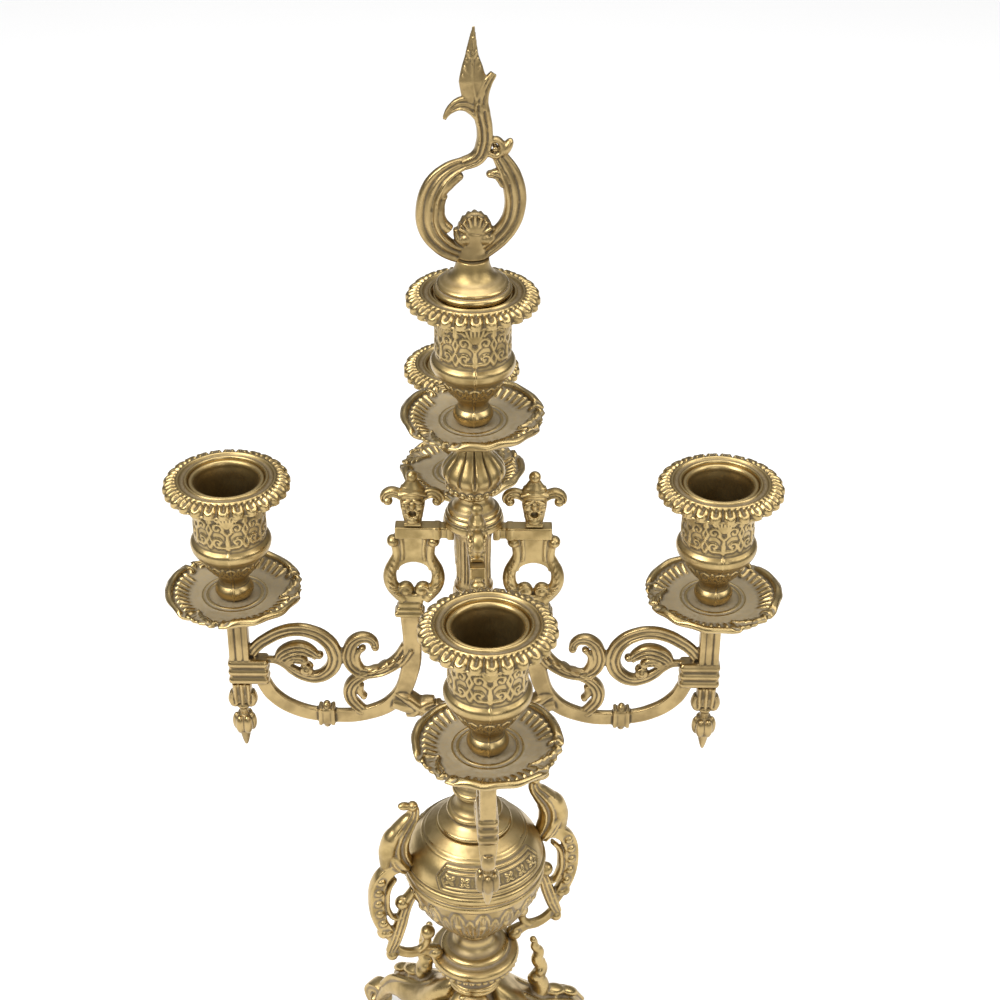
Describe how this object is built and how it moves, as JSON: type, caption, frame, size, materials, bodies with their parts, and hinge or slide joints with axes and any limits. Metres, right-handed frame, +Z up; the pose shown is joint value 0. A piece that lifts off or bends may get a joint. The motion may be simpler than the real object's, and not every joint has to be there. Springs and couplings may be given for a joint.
{
  "type": "tabletop candelabra",
  "caption": "Cast brass table candelabra: scrolled arms with candle cups and drip pans round a vase stem, a lift-out finial in the centre cup, on scroll legs.",
  "frame": {"origin": "on the floor under the stem's axis", "axes": "+Z up along the stem, the front and back arms along -Y and +Y, the right and left arms 4.2 degrees clockwise of +X and -X"},
  "size_m": [0.2708, 0.2714, 0.5604],
  "materials": {
    "aged_brass": "aged cast brass, darker in the hollows and rubbed bright on the edges",
    "pan_brass": "dusty greyish brass, dull on the flats",
    "steel": "plain turned steel"
  },
  "bodies": {
    "stand": {"base_body": "aged_brass", "base_leg_1": "aged_brass", "base_leg_2": "aged_brass", "base_leg_3": "aged_brass", "vase_foot": "aged_brass", "vase_bowl": "aged_brass", "vase_shoulder": "aged_brass", "vase_neck": "aged_brass", "vase_handle_right": "aged_brass", "vase_handle_left": "aged_brass", "baluster": "aged_brass", "lower_hub": "aged_brass", "column": "aged_brass", "upper_hub": "aged_brass", "knop": "aged_brass", "tie_rod": "steel", "base_washer": "steel", "base_nut": "steel", "right_arm_bracket": "aged_brass", "right_arm_mask": "aged_brass", "right_arm_scroll": "aged_brass", "right_arm_drop": "aged_brass", "right_arm_pan": "pan_brass", "right_arm_cup": "aged_brass", "right_arm_ring": "aged_brass", "right_arm_stud": "steel", "back_arm_bracket": "aged_brass", "back_arm_mask": "aged_brass", "back_arm_scroll": "aged_brass", "back_arm_drop": "aged_brass", "back_arm_pan": "pan_brass", "back_arm_cup": "aged_brass", "back_arm_ring": "aged_brass", "back_arm_stud": "steel", "left_arm_bracket": "aged_brass", "left_arm_mask": "aged_brass", "left_arm_scroll": "aged_brass", "left_arm_drop": "aged_brass", "left_arm_pan": "pan_brass", "left_arm_cup": "aged_brass", "left_arm_ring": "aged_brass", "left_arm_stud": "steel", "front_arm_bracket": "aged_brass", "front_arm_mask": "aged_brass", "front_arm_scroll": "aged_brass", "front_arm_drop": "aged_brass", "front_arm_pan": "pan_brass", "front_arm_cup": "aged_brass", "front_arm_ring": "aged_brass", "front_arm_stud": "steel", "centre_pan": "pan_brass", "centre_cup": "aged_brass", "centre_ring": "aged_brass"},
    "finial": {"finial_ornament": "aged_brass", "finial_foot": "aged_brass", "finial_plug": "aged_brass"}
  },
  "joints": [
    {"name": "finial_lift", "type": "slide", "parent": "stand", "child": "finial", "axis": [0, 0, 1], "range_m": [0, 0.04]}
  ]
}
